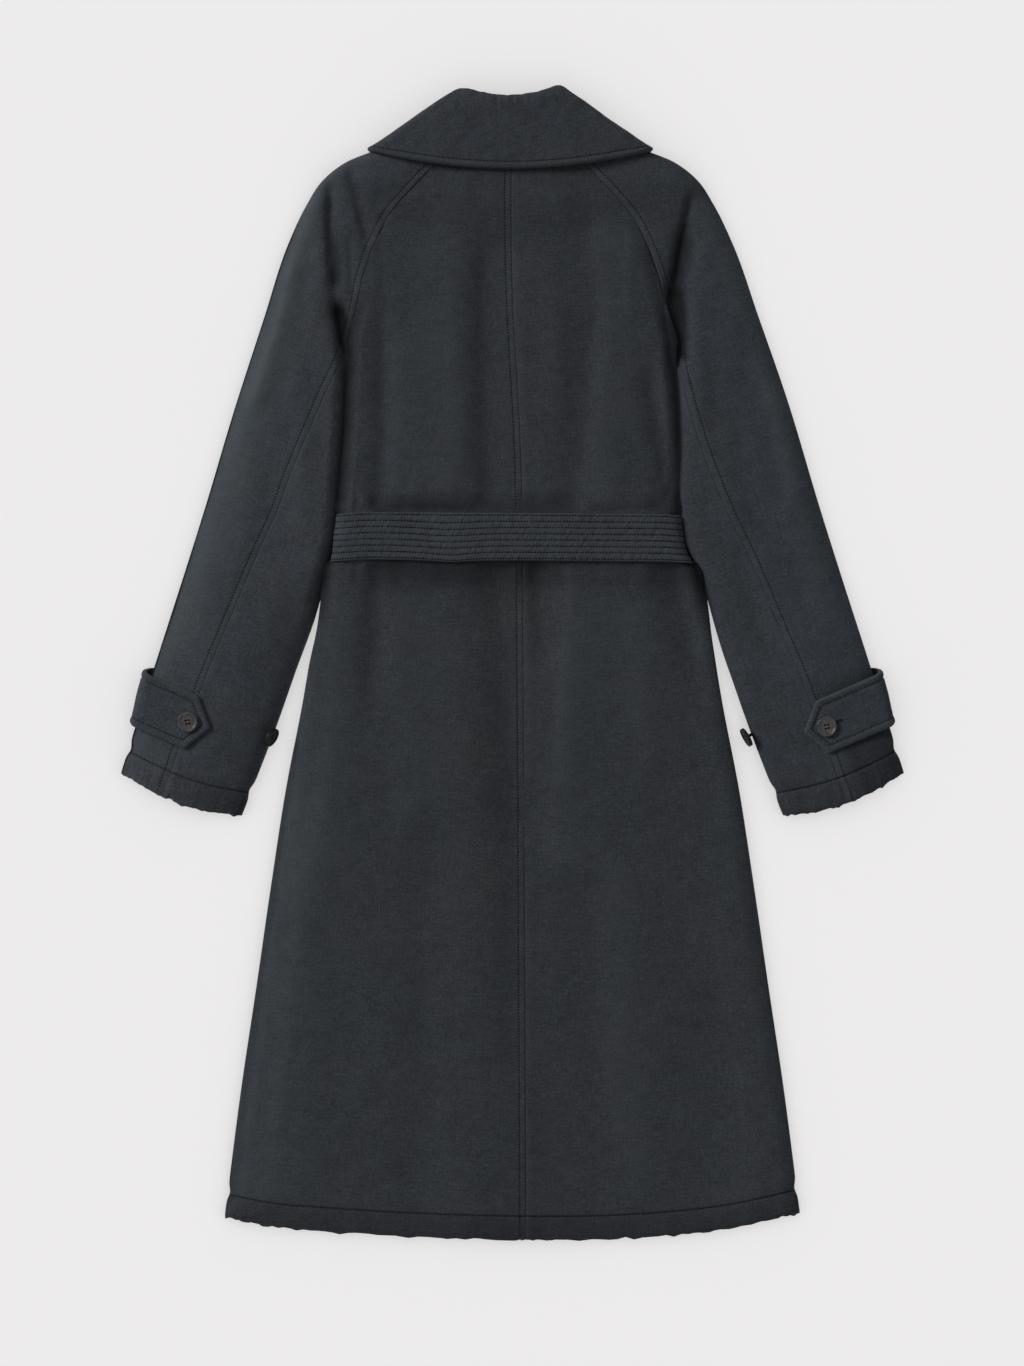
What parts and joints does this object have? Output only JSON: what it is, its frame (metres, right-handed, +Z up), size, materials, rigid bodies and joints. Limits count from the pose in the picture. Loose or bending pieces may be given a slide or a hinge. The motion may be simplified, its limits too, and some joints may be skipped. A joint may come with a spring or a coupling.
{
  "type": "padded trench coat laid flat",
  "caption": "Padded raglan trench coat lying flat on its front, with a turned-down collar, a channel-stitched belt and pointed, buttoned cuff straps.",
  "frame": {"origin": "on the surface that the coat lies on, under the middle of its outline", "axes": "+X across the coat to the wearer's right, +Y from hem to collar, +Z up out of the back"},
  "size_m": [0.815, 1.1999, 0.031],
  "materials": {
    "shell_cloth": "matte peached cotton twill, washed charcoal navy with a faint mottle",
    "horn_button": "dark horn-like, low gloss with brown flecks"
  },
  "bodies": {
    "root": {"belt": "shell_cloth", "collar_fall": "shell_cloth", "collar_stand": "shell_cloth", "back_left": "shell_cloth", "back_right": "shell_cloth", "front_left": "shell_cloth", "front_right": "shell_cloth", "sleeve_top_left": "shell_cloth", "sleeve_top_right": "shell_cloth", "sleeve_under_left": "shell_cloth", "sleeve_under_right": "shell_cloth", "cuff_strap_left": "shell_cloth", "cuff_strap_right": "shell_cloth", "strap_button_left": "horn_button", "strap_button_right": "horn_button", "edge_button_left": "horn_button", "edge_button_right": "horn_button"}
  },
  "joints": []
}
